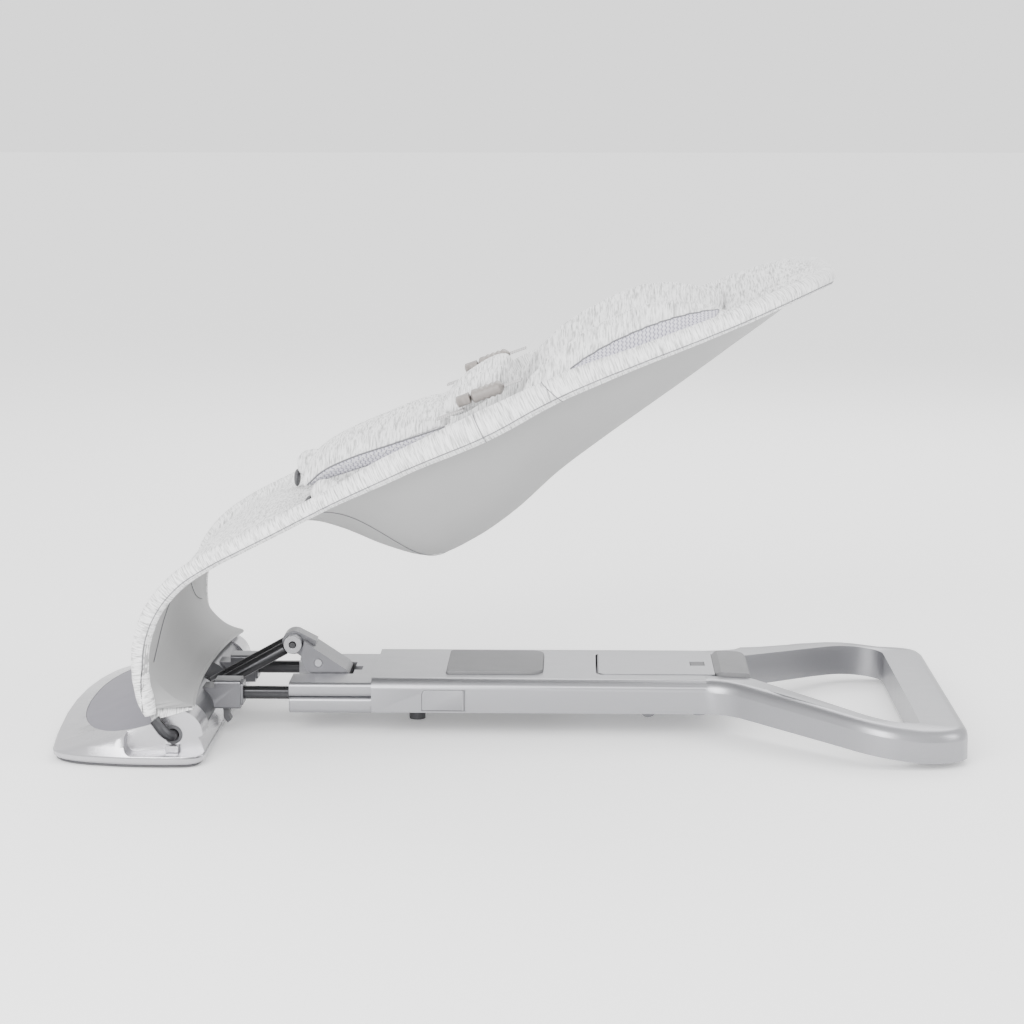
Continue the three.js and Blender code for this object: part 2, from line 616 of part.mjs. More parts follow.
function addCrank() {
  add('hinge_shaft', crossRod(HINGE, -184, 184, SHAFT_RADIUS, 24), DARK_METAL);
  add('crank_hub', cut(crossRod(HINGE, -27, 27, 10.5, 24),
    crossRod(HINGE, -40, 40, SHAFT_RADIUS + CLEARANCE, 24)), DARK_METAL);
  add('knuckle_pin', crossRod(KNUCKLE, -26.5, 26.5, 3, 12), DARK_METAL);
  for (const [name, sign] of Object.entries(SIDES)) {
    add(`crank_arm_${name}`, rod(crankPoint(11.2, sign * CRANK_SPACING),
      crankPoint(CRANK_LENGTH - 9.8, sign * CRANK_SPACING), 6.3, 16), DARK_METAL);
    add(`crank_eye_${name}`, cut(crossRod(KNUCKLE, ...outward(sign, 12, 25), 9.4, 20),
      crossRod(KNUCKLE, -40, 40, 3.4, 12)), SILVER);
  }
}

function addPropBracket() {
  const tongue = join(
    crossRod(KNUCKLE, -11.5, 11.5, 12, 24),
    side(shapeOf([[KNUCKLE.x, 71], [-196, 58], [-192, 82], [KNUCKLE.x + 6, KNUCKLE.z + 10.4]]),
      -11.5, 11.5));
  const plate = side(shapeOf([
    [-203, 83.5], [-207, 66], [-203, 57], [-186, 42], [-172, 33.5], [-161, 33.5], [-158, 37],
    [-158, 51], [-161, 55.5],
  ]), -25, 25);
  const knuckleSpace = crossRod(KNUCKLE, -40, 40, 10.2, 24)
    .subtract(crossRod(KNUCKLE, -11.5, 11.5, 20, 24));
  const bracket = cut(join(tongue, plate), knuckleSpace,
    crossRod(KNUCKLE, -40, 40, 3.4, 12), crossRod(PROP_END, -40, 40, 3.3, 12),
    crossRod({ x: -189, z: 62 }, -40, 40, 4.3, 16));
  add('prop_bracket', bracket, SILVER);
  add('prop_pin', crossRod(PROP_END, -27, 27, 3, 12), DARK_METAL);
  add('prop_rivet', crossRod({ x: -189, z: 62 }, -25.8, 25.8, 4, 16), SILVER);
}

// ---- seat frame and soft goods ----
// The hoop's centre line on one side, from the foot to the middle of the head bar: x, |y|, z.
const HOOP_SIDE = [
  [-331, 203, 48.5], [-336.5, 203, 67], [-340, 202, 92], [-336, 201, 129], [-323, 200, 155],
  [-303, 200, 177], [-280, 200, 193], [-220, 200, 224], [-160, 200, 255], [-95, 200, 288],
  [-18, 200, 323], [60, 200, 362], [145, 200, 395.5], [213, 198, 422.5], [256, 182, 440],
  [288, 150, 451.5], [308, 100, 456], [313, 50, 458], [314, 0, 458],
];
const TUBE_END = [
  [-312, 186, 26.5], [-312, 192, 26.5], [-313.5, 199, 27.5], [-318.5, 203, 32], [-324.5, 203, 40],
  [-327.5, 203, 44.2],
];

function hoopPath() {
  const near = HOOP_SIDE.map(([x, y, z]) => point(x, -y, z));
  const far = HOOP_SIDE.slice(0, -1).reverse().map(([x, y, z]) => point(x, y, z));
  return new THREE.CatmullRomCurve3([...near, ...far], false, 'centripetal');
}

// The sling's edge beside the sleeve, and its middle line, station by station from the hem.
const SLING_EDGE = [
  [-293, 188, 51], [-311, 188, 57.5], [-330, 188, 76], [-337.5, 188, 97], [-333, 187, 131],
  [-320, 186, 157], [-282, 186, 191], [-220, 186, 223.5], [-158, 186, 255.5], [-92, 186, 289],
  [-16, 186, 324], [62, 186, 362.5], [134, 186, 391], [190, 184, 414], [231, 176, 431],
  [260, 157, 443], [280, 132, 449.5], [294, 100, 453.5],
];
const SLING_MIDDLE = [
  [-303, 54.5], [-316, 60], [-330, 78], [-338, 99], [-334, 137], [-318, 165], [-281, 197],
  [-212, 226], [-149, 203], [-80, 175], [-14, 204], [54, 263], [116, 310], [180, 357],
  [222, 389], [256, 414], [278, 432], [295, 451],
];
const slingEdge = new THREE.CatmullRomCurve3(SLING_EDGE.map(([x, y, z]) => point(x, y, z)));
const slingMiddle = new THREE.CatmullRomCurve3(SLING_MIDDLE.map(([x, z]) => point(x, 0, z)));

// A point of the sling's upper face: along 0 at the hem to 1 at the head, across -1 to 1.
function slingPoint(along, across) {
  const edge = slingEdge.getPoint(along);
  const middle = slingMiddle.getPoint(along);
  const sag = 1 - Math.abs(across) ** 2.3;
  return point(edge.x + (middle.x - edge.x) * sag, edge.y * across,
    edge.z + (middle.z - edge.z) * sag);
}

function slingNormal(along, across) {
  const step = 0.004;
  const low = Math.max(along - step, 0);
  const high = Math.min(along + step, 1);
  const left = Math.max(across - 0.05, -1);
  const right = Math.min(across + 0.05, 1);
  const lengthways = slingPoint(high, across).sub(slingPoint(low, across));
  const crossways = slingPoint(along, right).sub(slingPoint(along, left));
  return lengthways.cross(crossways).normalize();
}

function slingOffset(along, across, distance) {
  return slingPoint(along, across).addScaledVector(slingNormal(along, across), distance);
}

// The insert for a newborn: padded over the sling's middle, with a bolster along each side that
// rises above the sling's edge beside the head. INSERT.from and .to are stations of the sling.
const INSERT = { from: 0.565, to: 0.83, reach: 0.9, gap: 3, padding: 22, bolster: 56 };
const SEAT_SLOPE = THREE.MathUtils.degToRad(26);
const SEAT_UP = point(-Math.sin(SEAT_SLOPE), 0, Math.cos(SEAT_SLOPE));

function insertHeight(u, across) {
  const w = Math.abs(across);
  const ends = 1 - (2 * u - 1) ** 6;
  const beside = Math.exp(-(((w - 0.8) / 0.16) ** 2));
  const past = THREE.MathUtils.clamp((u - 0.2) / 0.8, 0, 1);
  const alongBolster = Math.max(0, Math.sin(Math.PI * past ** 0.7)) ** 0.7;
  const rim = 5 + 8 * (1 - w ** 6);
  return rim + INSERT.padding * ends * (1 - w ** 4) + INSERT.bolster * beside * alongBolster * ends;
}

function newbornInsert() {
  const station = (u) => INSERT.from + (INSERT.to - INSERT.from) * u;
  const across = (v) => INSERT.reach * (2 * v - 1);
  return quiltGeometry(10, 16,
    (u, v) => slingOffset(station(u), across(v), INSERT.gap)
      .addScaledVector(SEAT_UP, insertHeight(u, 2 * v - 1)),
    (u, v) => slingOffset(station(u), across(v), INSERT.gap));
}

function addSeatFrame() {
  const hoop = hoopPath();
  const steps = 56;
  add('seat_hoop', sweepGeometry(shapeOf(polygon(SHAFT_RADIUS, 8)), hoop, steps), DARK_METAL);
  const sleeveShape = shapeOf(polygon(ROLL_RADIUS, 10));
  sleeveShape.holes.push(shapeOf(polygon(SLEEVE_BORE, 6)));
  add('edge_sleeve', sweepGeometry(sleeveShape, hoop, steps), HEATHER);
  for (const [name, sign] of Object.entries(SIDES)) {
    const path = new THREE.CatmullRomCurve3(
      TUBE_END.map(([x, y, z]) => point(x, sign * y, z)), false, 'centripetal');
    add(`tube_end_${name}`, sweepGeometry(shapeOf(polygon(SHAFT_RADIUS, 10)), path, 14), DARK_METAL);
  }
}

function addSoftGoods() {
  add('sling', quiltGeometry(28, 12,
    (u, v) => slingPoint(u, 2 * v - 1),
    (u, v) => slingOffset(u, 2 * v - 1, -SLING_THICKNESS)), WOVEN);
  add('newborn_insert', newbornInsert(), HEATHER);
  add('crotch_pad', crotchPad(), HEATHER);
  for (const [name, sign] of Object.entries(SIDES)) {
    addHarness(name, sign);
  }
}

// The wide pad that comes up between the legs, arched clear of the sling.
const CROTCH_LINE = [[-200, 247], [-181, 268], [-150, 286], [-118, 300], [-86, 314], [-54, 328]];
const crotchCurve = new THREE.CatmullRomCurve3(CROTCH_LINE.map(([x, z]) => point(x, 0, z)));

function crotchPoint(u, w, height) {
  const p = crotchCurve.getPoint(u);
  const tangent = crotchCurve.getTangent(u);
  const halfWidth = 62 + 28 * u;
  const droop = (3 + 13 * u) * w * w;
  return point(p.x - tangent.z * (height - droop), halfWidth * w, p.z + tangent.x * (height - droop));
}

function crotchPad() {
  const swell = (u, w) => 3 + 6 * (1 - (2 * u - 1) ** 4) * (1 - w ** 4);
  return quiltGeometry(12, 8,
    (u, v) => crotchPoint(u, 2 * v - 1, swell(u, 2 * v - 1)),
    (u, v) => crotchPoint(u, 2 * v - 1, -swell(u, 2 * v - 1) / 2));
}

// Webbing and a side-release buckle from the crotch pad's corner to the sling's side.
function addHarness(name, sign) {
  const slope = THREE.MathUtils.degToRad(20);
  const start = point(-42, sign * 102, 336 + 6 * sign);
  const group = new THREE.Group();
  group.position.copy(start);
  group.rotation.y = -slope;
  bouncer.add(group);
  const strip = (x, halfWidth, z, radius) => planGeometry(
    roundedRectangle(x[0], x[1], -halfWidth, halfWidth, radius), z[0], z[1], 3);
  const tape = 11;
  add(`crotch_strap_${name}`, strip([-24, 4], tape, [-3.5, -1.5], 1), BUCKLE, group);
  add(`buckle_tongue_${name}`, strip([-1, 13.5], 13, [0.5, 11.5], 3), BUCKLE, group);
  add(`buckle_socket_${name}`, strip([14, 48], 15, [-1, 13], 4), BUCKLE, group);
  add(`side_strap_${name}`, strip([48.5, 66], tape, [5, 7], 1), BUCKLE, group);
}

addFrontFoot();
addRearBase();
addControls();
addCrank();
addPropBracket();
addSeatFrame();
addSoftGoods();

export default bouncer;
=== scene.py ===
import json
import math

import bmesh
import bpy
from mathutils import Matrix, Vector
from mathutils.bvhtree import BVHTree


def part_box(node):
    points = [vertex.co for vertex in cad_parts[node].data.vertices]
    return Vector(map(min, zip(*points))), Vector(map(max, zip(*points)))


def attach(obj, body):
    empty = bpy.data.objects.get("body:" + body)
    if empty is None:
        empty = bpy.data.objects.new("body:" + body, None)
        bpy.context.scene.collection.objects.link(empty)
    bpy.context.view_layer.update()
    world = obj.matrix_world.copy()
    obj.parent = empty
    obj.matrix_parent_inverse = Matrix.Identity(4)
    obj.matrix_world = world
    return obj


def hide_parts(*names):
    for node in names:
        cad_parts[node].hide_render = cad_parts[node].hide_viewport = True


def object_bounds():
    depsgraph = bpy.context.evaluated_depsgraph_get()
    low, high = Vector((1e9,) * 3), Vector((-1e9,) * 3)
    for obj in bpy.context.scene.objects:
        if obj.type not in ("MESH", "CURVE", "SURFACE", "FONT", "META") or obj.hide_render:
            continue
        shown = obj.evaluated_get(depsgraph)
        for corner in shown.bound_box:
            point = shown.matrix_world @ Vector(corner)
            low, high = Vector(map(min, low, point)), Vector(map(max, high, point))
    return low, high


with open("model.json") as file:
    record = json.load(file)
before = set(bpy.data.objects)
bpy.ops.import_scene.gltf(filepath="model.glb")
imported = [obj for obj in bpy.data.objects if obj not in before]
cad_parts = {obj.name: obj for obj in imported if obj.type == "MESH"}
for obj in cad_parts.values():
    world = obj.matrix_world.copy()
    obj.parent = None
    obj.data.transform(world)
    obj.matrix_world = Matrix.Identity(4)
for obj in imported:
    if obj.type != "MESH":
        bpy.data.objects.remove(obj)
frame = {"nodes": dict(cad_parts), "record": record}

for name in ("Cube", "Light", "Camera"):
    if name in bpy.data.objects:
        bpy.data.objects.remove(bpy.data.objects[name])
CAD_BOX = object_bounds()

MM = 0.001
SIDES = {"left": -1, "right": 1}
SEAT_SLOPE = math.radians(26)
SEAT_UP = Vector((-math.sin(SEAT_SLOPE), 0, math.cos(SEAT_SLOPE)))


# ---------------------------------------------------------------- geometry helpers
def new_object(name, mesh, material, smooth=True):
    """A mesh as an object in the scene, with one material."""
    piece = bpy.data.objects.new(name, mesh)
    bpy.context.scene.collection.objects.link(piece)
    mesh.materials.append(material)
    for polygon in mesh.polygons:
        polygon.use_smooth = smooth
    return piece


def spline(points, t):
    """Catmull-Rom point of a list, t from 0 at its start to 1 at its end."""
    span = min(max(t, 0), 1) * (len(points) - 1)
    i = min(int(span), len(points) - 2)
    f = span - i
    a, b = points[max(i - 1, 0)], points[i]
    c, d = points[i + 1], points[min(i + 2, len(points) - 1)]
    return b + 0.5 * f * (c - a + f * (2 * a - 5 * b + 4 * c - d + f * (3 * (b - c) + d - a)))


def surface(rows, u, v):
    """Point of a grid of rows, smooth both ways."""
    span = min(max(u, 0), 1) * (len(rows) - 1)
    i = min(int(span), len(rows) - 2)
    near = [spline(rows[min(max(k, 0), len(rows) - 1)], v) for k in range(i - 1, i + 3)]
    if i == 0:
        near[0] = 2 * near[1] - near[2]
    if i == len(rows) - 2:
        near[3] = 2 * near[2] - near[1]
    f = span - i
    a, b, c, d = near
    return b + 0.5 * f * (c - a + f * (2 * a - 5 * b + 4 * c - d + f * (3 * (b - c) + d - a)))


def normal_of(function, u, v, step=0.004):
    """Unit normal of a surface function, on its upper side."""
    u0, u1 = max(u - step, 0), min(u + step, 1)
    v0, v1 = max(v - step, 0), min(v + step, 1)
    return (function(u1, v) - function(u0, v)).cross(function(u, v1) - function(u, v0)).normalized()


def lengths(points):
    """Distance along a list of points, from 0 at the first."""
    total = [0.0]
    for a, b in zip(points, points[1:]):
        total.append(total[-1] + (b - a).length)
    return total


def grid_mesh(name, rows, close_columns=False):
    """Mesh from rows of points, with UVs in metres: U along a row, V from row to row."""
    mesh = bmesh.new()
    verts = [[mesh.verts.new(p) for p in row] for row in rows]
    uv_layer = mesh.loops.layers.uv.new("UVMap")
    across = lengths(rows[len(rows) // 2])
    across.append(across[-1] + (rows[0][0] - rows[0][-1]).length)
    along = lengths([row[len(row) // 2] for row in rows])
    width = len(rows[0])
    for i in range(len(rows) - 1):
        for j in range(width if close_columns else width - 1):
            corners = ((i, j), (i, j + 1), (i + 1, j + 1), (i + 1, j))
            face = mesh.faces.new([verts[a][b % width] for a, b in corners])
            for loop, (a, b) in zip(face.loops, corners):
                loop[uv_layer].uv = (across[b], along[a])
    data = bpy.data.meshes.new(name)
    mesh.to_mesh(data)
    mesh.free()
    return data


def tube_rows(points, radius, sides):
    """Rings round a line of points; radius is a number or a function of the ring's index."""
    rows = []
    side = Vector((0, 1, 0))
    for i, p in enumerate(points):
        tangent = (points[min(i + 1, len(points) - 1)] - points[max(i - 1, 0)]).normalized()
        side = (side - tangent * side.dot(tangent)).normalized()
        other = tangent.cross(side)
        r = radius(i) if callable(radius) else radius
        ring = []
        for k in range(sides):
            angle = 2 * math.pi * k / sides
            ring.append(p + r * (math.cos(angle) * side + math.sin(angle) * other))
        rows.append(ring)
    return rows


def tube(name, points, radius, sides, material):
    """Round tube along a line of points, closed at both ends."""
    rows = [[points[0]] * sides] + tube_rows(points, radius, sides) + [[points[-1]] * sides]
    mesh = grid_mesh(name, rows, close_columns=True)
    piece = new_object(name, mesh, material)
    weld(piece)
    return piece


def weld(piece, distance=1e-6):
    mesh = bmesh.new()
    mesh.from_mesh(piece.data)
    bmesh.ops.remove_doubles(mesh, verts=mesh.verts, dist=distance)
    bmesh.ops.dissolve_degenerate(mesh, dist=1e-7, edges=mesh.edges)
    bmesh.ops.recalc_face_normals(mesh, faces=mesh.faces)
    mesh.to_mesh(piece.data)
    mesh.free()


def apply_modifiers(piece):
    graph = bpy.context.evaluated_depsgraph_get()
    mesh = bpy.data.meshes.new_from_object(piece.evaluated_get(graph))
    piece.modifiers.clear()
    old = piece.data
    piece.data = mesh
    bpy.data.meshes.remove(old)


def finish_piece(piece, body, slot, *nodes):
    """Puts a piece on its body and hides the CAD nodes that it stands for. Its slot argument is not used.
    """
    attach(piece, body)
    if nodes:
        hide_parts(*nodes)
    return piece


# ---------------------------------------------------------------- reading the frame
def merged(node):
    mesh = bmesh.new()
    mesh.from_mesh(frame["nodes"][node].data)
    bmesh.ops.remove_doubles(mesh, verts=mesh.verts, dist=5e-6)
    return mesh


def layers(node, first):
    """A swept or quilted CAD solid's corners, ring by ring, from the ones that first(list) picks."""
    mesh = merged(node)
    ring = first(list(mesh.verts))
    seen = set(ring)
    result = []
    while ring:
        result.append([vert.co.copy() for vert in ring])
        beside = {edge.other_vert(vert) for vert in ring for edge in vert.link_edges}
        ring = [vert for vert in beside if vert not in seen]
        seen.update(ring)
    mesh.free()
    return result


def centre_line(node, ring_size, start):
    """Centre line of a swept CAD tube, from the end nearest to start."""
    def first(verts):
        tip = min(verts, key=lambda vert: (vert.co - start).length)
        return sorted(verts, key=lambda vert: (vert.co - tip.co).length)[:ring_size]
    return [sum(ring, Vector()) / len(ring) for ring in layers(node, first)]


def quilt_rows(node, first):
    """Middle surface of a CAD quilt: one row of points from -Y to +Y for each station."""
    rows = []
    for layer in layers(node, first):
        layer.sort(key=lambda p: p.y)
        rows.append([(a + b) / 2 for a, b in zip(layer[::2], layer[1::2])])
    return rows


HOOP_RING = 8
hoop_low, hoop_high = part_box("seat_hoop")
HOOP = centre_line("seat_hoop", HOOP_RING, Vector((hoop_low.x, hoop_low.y, hoop_low.z)))
# The padded roll's radius along the seat: X, radius.
ROLL_PLUMPNESS = [
    (-0.300, 8.6 * MM), (-0.168, 8.4 * MM), (-0.098, 12 * MM), (-0.018, 14.5 * MM),
    (0.060, 12 * MM), (0.145, 9.6 * MM), (0.225, 8.8 * MM), (0.300, 8.4 * MM),
]


def hoop_at(t):
    return spline(HOOP, t)


def roll_radius(x):
    """Radius of the padded roll where the hoop passes x."""
    if x <= ROLL_PLUMPNESS[0][0]:
        return ROLL_PLUMPNESS[0][1]
    for (x0, r0), (x1, r1) in zip(ROLL_PLUMPNESS, ROLL_PLUMPNESS[1:]):
        if x <= x1:
            blend = (x - x0) / (x1 - x0)
            return r0 + (r1 - r0) * blend * blend * (3 - 2 * blend)
    return ROLL_PLUMPNESS[-1][1]


SLING_ROW = 26
SLING = quilt_rows("sling", lambda verts: sorted(
    [vert for vert in verts if vert.co.z < 0.07], key=lambda vert: -vert.co.x)[:SLING_ROW])


def sling_at(u, v):
    """Sling's middle surface: u from the hem to the head, v from left to right."""
    return surface(SLING, u, v)


# ---------------------------------------------------------------- materials
def node_material(name):
    material = bpy.data.materials.new(name)
    material.use_nodes = True
    tree = material.node_tree
    shader = tree.nodes["Principled BSDF"]
    return material, tree, shader


def link(tree, source, target):
    tree.links.new(source, target)


def add_node(tree, kind, **settings):
    node = tree.nodes.new(kind)
    for key, value in settings.items():
        if key in node.inputs:
            node.inputs[key].default_value = value
        else:
            setattr(node, key, value)
    return node


def placed(tree, coordinates, scale):
    """Texture coordinates scaled per axis, in cycles a metre."""
    source = add_node(tree, "ShaderNodeTexCoord")
    mapping = add_node(tree, "ShaderNodeMapping")
    mapping.inputs["Scale"].default_value = scale
    link(tree, source.outputs[coordinates], mapping.inputs["Vector"])
    return mapping.outputs["Vector"]


def noise_texture(tree, vector, scale=1.0, detail=2.0, roughness=0.5):
    node = add_node(tree, "ShaderNodeTexNoise")
    node.inputs["Scale"].default_value = scale
    node.inputs["Detail"].default_value = detail
    node.inputs["Roughness"].default_value = roughness
    link(tree, vector, node.inputs["Vector"])
    return node.outputs["Fac"]


def ramp(tree, factor, stops):
    node = add_node(tree, "ShaderNodeValToRGB")
    elements = node.color_ramp.elements
    while len(elements) < len(stops):
        elements.new(0.5)
    for element, (position, colour) in zip(elements, stops):
        element.position = position
        element.color = (*colour, 1)
    link(tree, factor, node.inputs["Fac"])
    return node.outputs["Color"]


def grey(value):
    return (value, value, value)


def shade(base, factor):
    return tuple(min(channel * factor, 1) for channel in base)


def mix_colour(tree, factor, first, second):
    node = add_node(tree, "ShaderNodeMix", data_type="RGBA")
    for socket, value in ((0, factor), (6, first), (7, second)):
        if isinstance(value, bpy.types.NodeSocket):
            link(tree, value, node.inputs[socket])
        elif socket == 0:
            node.inputs[0].default_value = value
        else:
            node.inputs[socket].default_value = (*value, 1)
    return node.outputs[2]


def maths(tree, operation, first, second=0.0):
    node = add_node(tree, "ShaderNodeMath", operation=operation)
    for socket, value in enumerate((first, second)):
        if isinstance(value, bpy.types.NodeSocket):
            link(tree, value, node.inputs[socket])
        else:
            node.inputs[socket].default_value = value
    return node.outputs[0]


def bump(tree, shader, height, distance, strength):
    """Relief on a shader: height is a texture's output, distance its depth in metres."""
    node = add_node(tree, "ShaderNodeBump")
    node.inputs["Distance"].default_value = distance
    node.inputs["Strength"].default_value = strength
    link(tree, height, node.inputs["Height"])
    link(tree, node.outputs["Normal"], shader.inputs["Normal"])


def heather_knit(name, coordinates, stretch):
    """Fine jersey: short grey streaks on near white, drawn out along the knit's courses."""
    material, tree, shader = node_material(name)
    fine = placed(tree, coordinates, tuple(700 * s for s in stretch))
    broad = placed(tree, coordinates, tuple(380 * s for s in stretch))
    flecks = noise_texture(tree, fine, 1.0, 2.0, 0.65)
    drift = noise_texture(tree, broad, 1.0, 2.0, 0.5)
    light = ramp(tree, flecks, [(0.35, grey(0.16)), (0.46, grey(0.52)), (0.54, grey(0.86))])
    soft = ramp(tree, drift, [(0.36, grey(0.46)), (0.47, grey(0.80)), (0.60, grey(0.88))])
    colour = mix_colour(tree, 0.42, light, soft)
    link(tree, colour, shader.inputs["Base Color"])
    loops = noise_texture(tree, placed(tree, coordinates, (1500, 1500, 1500)), 1.0, 1.0)
    height = maths(tree, "ADD", maths(tree, "MULTIPLY", flecks, 0.7), maths(tree, "MULTIPLY", loops, 0.5))
    bump(tree, shader, height, 0.0007, 0.6)
    shader.inputs["Roughness"].default_value = 0.93
    shader.inputs["Sheen Weight"].default_value = 0.2
    shader.inputs["Sheen Roughness"].default_value = 0.5
    shader.inputs["Specular IOR Level"].default_value = 0.15
    return material


def woven_cloth(name):
    """Plain polyester weave, smooth and pale grey."""
    material, tree, shader = node_material(name)
    threads = add_node(tree, "ShaderNodeTexBrick", offset=0.5)
    threads.inputs["Scale"].default_value = 1.0
    threads.inputs["Brick Width"].default_value = 1.6
    threads.inputs["Row Height"].default_value = 0.8
    threads.inputs["Mortar Size"].default_value = 0.12
    threads.inputs["Mortar Smooth"].default_value = 1.0
    link(tree, placed(tree, "UV", (1000, 1000, 1000)), threads.inputs["Vector"])
    weave = threads.outputs["Fac"]
    cloud = noise_texture(tree, placed(tree, "UV", (9, 9, 9)), 1.0, 3.0)
    grain = noise_texture(tree, placed(tree, "UV", (900, 900, 900)), 1.0, 1.0)
    base = ramp(tree, cloud, [(0.3, grey(0.32)), (0.7, grey(0.35))])
    colour = mix_colour(tree, maths(tree, "MULTIPLY", grain, 0.25), base, grey(0.28))
    link(tree, colour, shader.inputs["Base Color"])
    height = maths(tree, "ADD", maths(tree, "MULTIPLY", weave, -0.5), maths(tree, "MULTIPLY", grain, 0.4))
    bump(tree, shader, height, 0.0003, 0.35)
    shader.inputs["Roughness"].default_value = 0.72
    shader.inputs["Sheen Weight"].default_value = 0.12
    shader.inputs["Specular IOR Level"].default_value = 0.3
    return material


def air_mesh(name):
    """Spacer mesh: staggered round holes through a pale lilac-grey knit, with painted shade darkening
    each hole's centre.
    """
    material, tree, shader = node_material(name)
    holes = add_node(tree, "ShaderNodeTexVoronoi", feature="F1")
    holes.inputs["Scale"].default_value = 1.0
    holes.inputs["Randomness"].default_value = 0.0
    vector = placed(tree, "UV", (230, 250, 1))
    stagger = add_node(tree, "ShaderNodeVectorMath", operation="ADD")
    split = add_node(tree, "ShaderNodeSeparateXYZ")
    link(tree, vector, split.inputs[0])
    row = maths(tree, "FLOOR", split.outputs["Y"])
    offset = maths(tree, "MULTIPLY", row, 0.5)
    joined = add_node(tree, "ShaderNodeCombineXYZ")
    link(tree, offset, joined.inputs["X"])
    link(tree, vector, stagger.inputs[0])
    link(tree, joined.outputs[0], stagger.inputs[1])
    link(tree, stagger.outputs[0], holes.inputs["Vector"])
    distance = holes.outputs["Distance"]
    # Painted shade: the colour goes dark lilac-grey toward each hole's centre, for the shade inside the
    # holes.
    colour = ramp(tree, distance, [
        (0.22, (0.24, 0.23, 0.29)), (0.40, (0.60, 0.59, 0.66)), (0.6, (0.66, 0.65, 0.71))])
    link(tree, colour, shader.inputs["Base Color"])
    bump(tree, shader, distance, 0.0008, 0.8)
    shader.inputs["Roughness"].default_value = 0.85
    shader.inputs["Sheen Weight"].default_value = 0.15
    return material


def satin_metal(name, base, roughness, metallic=0.85, speckle=0.5):
    """Painted or cast metal with fine flake and slight handling wear."""
    material, tree, shader = node_material(name)
    flake = noise_texture(tree, placed(tree, "Object", (2600, 2600, 2600)), 1.0, 1.0)
    smears = noise_texture(tree, placed(tree, "Object", (22, 40, 22)), 1.0, 4.0, 0.6)
    tone = ramp(tree, flake, [(0.35, shade(base, 0.94)), (0.65, shade(base, 1.04))])
    link(tree, tone, shader.inputs["Base Color"])
    spread = maths(tree, "MULTIPLY", smears, 0.12)
    link(tree, maths(tree, "ADD", spread, roughness - 0.06), shader.inputs["Roughness"])
    bump(tree, shader, flake, 0.00008, speckle)
    shader.inputs["Metallic"].default_value = metallic
    return material


def moulded(name, base, roughness, grain=1400, depth=0.00012):
    """Moulded plastic or rubber with a fine grain."""
    material, tree, shader = node_material(name)
    pits = noise_texture(tree, placed(tree, "Object", (grain, grain, grain)), 1.0, 2.0)
    cloud = noise_texture(tree, placed(tree, "Object", (30, 30, 30)), 1.0, 3.0)
    tone = ramp(tree, cloud, [(0.3, shade(base, 0.94)), (0.7, shade(base, 1.05))])
    link(tree, tone, shader.inputs["Base Color"])
    bump(tree, shader, pits, depth, 0.6)
    shader.inputs["Roughness"].default_value = roughness
    return material


HEATHER_ROLL = heather_knit("heather_roll", "UV", (0.13, 1.0, 1.0))
HEATHER_SEAT = heather_knit("heather_seat", "Object", (1.0, 0.12, 0.14))
WOVEN = woven_cloth("woven_cloth")
MESH_CLOTH = air_mesh("air_mesh")
SILVER = satin_metal("silver_paint", (0.30, 0.30, 0.315), 0.34)
FOOT_SILVER = satin_metal("foot_paint", (0.46, 0.455, 0.475), 0.26)
BRACKET = satin_metal("bracket_paint", (0.15, 0.15, 0.16), 0.36)
DARK = satin_metal("dark_anodised", (0.05, 0.05, 0.053), 0.30, 0.9, 0.3)
TREAD = moulded("tread_rubber", (0.165, 0.16, 0.185), 0.6)
BUTTON = moulded("button_rubber", (0.165, 0.165, 0.17), 0.7, 1800)
# Dark plastic parts; also used for the dark shapes that stand as painted shade in the seat's slots.
BLACK = moulded("dark_plastic", (0.07, 0.07, 0.075), 0.55)
BUCKLE = moulded("buckle_plastic", (0.25, 0.228, 0.215), 0.45)
THREAD = moulded("seam_thread", (0.16, 0.16, 0.17), 0.85, 2500)
PALE_THREAD = moulded("pale_thread", (0.72, 0.72, 0.73), 0.85, 2500)


def webbing_cloth(name):
    """Woven tape with ribs across it."""
    material, tree, shader = node_material(name)
    ribs = add_node(tree, "ShaderNodeTexWave", bands_direction="X")
    ribs.inputs["Scale"].default_value = 160.0
    ribs.inputs["Distortion"].default_value = 0.4
    link(tree, placed(tree, "Object", (1, 1, 1)), ribs.inputs["Vector"])
    link(tree, ramp(tree, ribs.outputs["Fac"], [(0.2, (0.42, 0.41, 0.41)), (0.8, (0.58, 0.57, 0.57))]),
         shader.inputs["Base Color"])
    bump(tree, shader, ribs.outputs["Fac"], 0.0003, 0.7)
    shader.inputs["Roughness"].default_value = 0.85
    return material


WEBBING = webbing_cloth("webbing_tape")


# ---------------------------------------------------------------- rigid parts
SLOT_MATERIALS = {
    "silver": SILVER, "foot_silver": FOOT_SILVER, "dark_metal": DARK, "grey_rubber": TREAD,
    "dark_plastic": BLACK, "buckle_plastic": BUCKLE, "webbing": WEBBING,
}
NODE_SLOTS = {row["node"]: row["material_slot"] for row in frame["record"]["subparts"]}
NODE_BODIES = {
    node: body
    for body, nodes in frame["record"]["behaviour"]["bodies"].items()
    for node in nodes
}


def machined(node, edge, material=None, segments=2):
    """The CAD solid again, with its edges rounded over and its curved faces smooth."""
    mesh = merged(node)
    bmesh.ops.dissolve_limit(mesh, angle_limit=math.radians(0.6), verts=mesh.verts, edges=mesh.edges)
    data = bpy.data.meshes.new(node + "_body")
    mesh.to_mesh(data)
    mesh.free()
    piece = new_object(node + "_body", data, material or SLOT_MATERIALS[NODE_SLOTS[node]])
    rounding = piece.modifiers.new("edges", "BEVEL")
    rounding.width = edge
    rounding.segments = segments
    rounding.limit_method = "ANGLE"
    rounding.angle_limit = math.radians(32)
    rounding.harden_normals = True
    piece.data.set_sharp_from_angle(angle=math.radians(32))
    apply_modifiers(piece)
    return finish_piece(piece, NODE_BODIES[node], NODE_SLOTS[node], node)


